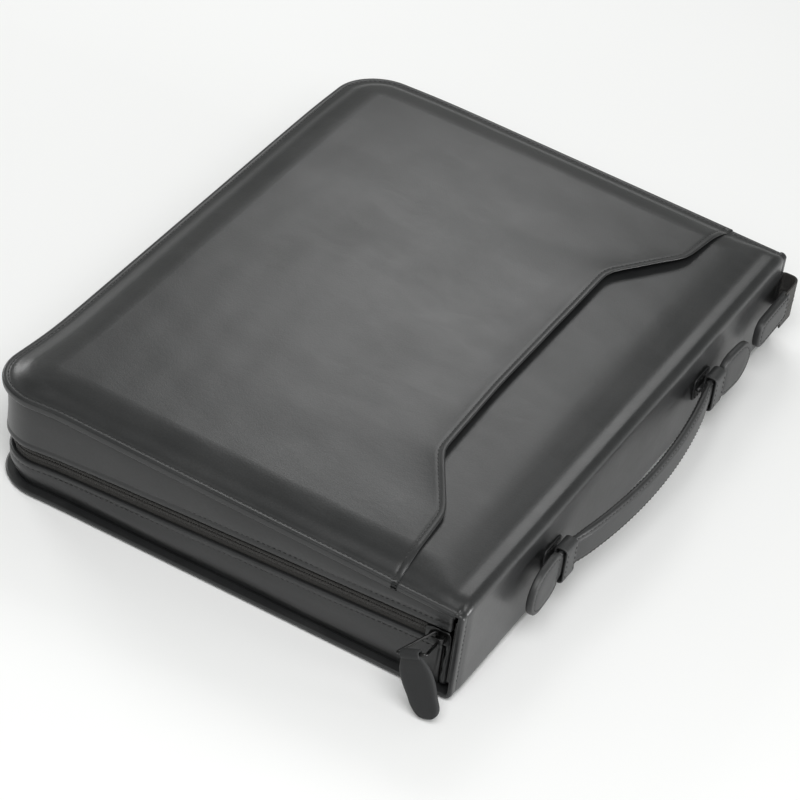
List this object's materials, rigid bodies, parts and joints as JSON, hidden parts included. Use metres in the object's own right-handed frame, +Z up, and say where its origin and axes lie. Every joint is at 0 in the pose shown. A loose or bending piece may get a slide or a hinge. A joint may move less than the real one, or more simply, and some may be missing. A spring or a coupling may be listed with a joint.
{
  "type": "portfolio case",
  "caption": "Zip-round black leather portfolio case with a bowed spine handle, shaped front pocket, zip tail, and a ring mechanism inside.",
  "frame": {"origin": "centre of the back panel's outer face, on which the closed case lies", "axes": "+X along the spine, from the end where the closed zip's slider parks to the end with the zip tail; +Y from the spine to the fore edge; +Z up, from the back panel to the front cover"},
  "size_m": [0.3857, 0.2881, 0.0658],
  "materials": {
    "cover_leather": "smooth black leather, soft sheen",
    "handle_leather": "smooth black leather, firm",
    "tab_rubberised": "matt black coated leather",
    "board": "grey pressed board",
    "padding": "dense felt padding",
    "lining": "black woven lining",
    "zip_tape": "black-brown woven tape",
    "zip_coil": "black moulded coil",
    "zip_metal": "black enamelled zinc",
    "steel": "nickel-plated steel",
    "clear_plastic": "clear polypropylene",
    "card": "matt black card"
  },
  "bodies": {
    "back_cover": {"back_leather": "cover_leather", "back_board": "board", "back_lining": "lining", "back_pocket": "lining", "bottom_fold": "cover_leather", "lower_gusset": "cover_leather", "lower_gusset_lining": "lining", "lower_zip_tape": "zip_tape", "lower_zip_coil": "zip_coil", "zip_stops": "zip_metal", "near_gusset_end": "cover_leather", "far_gusset_end": "cover_leather", "ring_housing": "steel", "ring_rivets": "steel", "display_sleeves": "clear_plastic", "insert_cards": "card"},
    "ring_half_a": {"ring_blade_a": "steel"},
    "ring_half_b": {"ring_blade_b": "steel"},
    "lever_near": {"ring_lever_near": "steel"},
    "lever_far": {"ring_lever_far": "steel"},
    "spine": {"spine_leather": "cover_leather", "spine_board": "board", "spine_lining": "lining", "top_fold": "cover_leather", "keeper_patches": "handle_leather", "tail_anchor": "zip_tape"},
    "handle": {"handle_strap": "handle_leather", "near_paddle": "handle_leather", "far_paddle": "handle_leather", "near_keeper": "handle_leather", "far_keeper": "handle_leather"},
    "zip_tail": {"tail_tape": "zip_tape", "tail_end_tab": "handle_leather"},
    "front_cover": {"front_leather": "cover_leather", "front_padding": "padding", "front_board": "board", "front_lining": "lining", "front_pocket": "cover_leather", "upper_gusset": "cover_leather", "upper_gusset_lining": "lining", "upper_zip_tape": "zip_tape", "upper_zip_coil": "zip_coil", "organizer_panel": "lining", "card_pockets": "handle_leather", "pen_loop": "lining"},
    "zip_slider": {"zip_slider": "zip_metal"},
    "pull_bail": {"pull_bail": "zip_metal"},
    "pull_tab": {"pull_tab": "tab_rubberised"}
  },
  "joints": [
    {"name": "spine_fold", "type": "hinge", "parent": "back_cover", "child": "spine", "pos_m": [0, -0.13, 0.005], "axis": [1, 0, 0], "range_deg": [0, 90]},
    {"name": "front_fold", "type": "hinge", "parent": "spine", "child": "front_cover", "pos_m": [0, -0.13, 0.053], "axis": [1, 0, 0], "range_deg": [0, 88]},
    {"name": "ring_open", "type": "hinge", "parent": "back_cover", "child": "ring_half_a", "pos_m": [0, -0.1164, 0.0069], "axis": [1, 0, 0], "range_deg": [0, 14]},
    {"name": "ring_open_b", "type": "hinge", "parent": "back_cover", "child": "ring_half_b", "pos_m": [0, -0.0916, 0.0069], "axis": [-1, 0, 0], "range_deg": [0, 14]},
    {"name": "lever_near_tip", "type": "hinge", "parent": "back_cover", "child": "lever_near", "pos_m": [-0.1424, -0.104, 0.0082], "axis": [0, -1, 0], "range_deg": [0, 35]},
    {"name": "lever_far_tip", "type": "hinge", "parent": "back_cover", "child": "lever_far", "pos_m": [0.1424, -0.104, 0.0082], "axis": [0, 1, 0], "range_deg": [0, 35]},
    {"name": "handle_swing", "type": "hinge", "parent": "spine", "child": "handle", "pos_m": [-0.0034, -0.137, 0.0295], "axis": [1, 0, 0], "range_deg": [-15, 15]},
    {"name": "tail_swing", "type": "hinge", "parent": "spine", "child": "zip_tail", "pos_m": [0.1832, -0.137, 0.02875], "axis": [0, 0, 1], "range_deg": [0, 120]},
    {"name": "zip_slide", "type": "slide", "parent": "back_cover", "child": "zip_slider", "axis": [0, 0.9989, -0.0469], "range_m": [0, 0.21]},
    {"name": "bail_swing", "type": "hinge", "parent": "zip_slider", "child": "pull_bail", "pos_m": [-0.17935, -0.122, 0.03503], "axis": [0, 0.0469, 0.9989], "range_deg": [-38, 38]},
    {"name": "tab_swing", "type": "hinge", "parent": "pull_bail", "child": "pull_tab", "pos_m": [-0.1986, -0.1188, 0.0375], "axis": [-0.0897, 0.9318, -0.3518], "range_deg": [-15, 100]}
  ],
  "couplings": [
    {"joint": "ring_open_b", "follows": "ring_open", "ratio": 1},
    {"joint": "lever_near_tip", "follows": "ring_open", "ratio": 2.5},
    {"joint": "lever_far_tip", "follows": "ring_open", "ratio": 2.5}
  ]
}
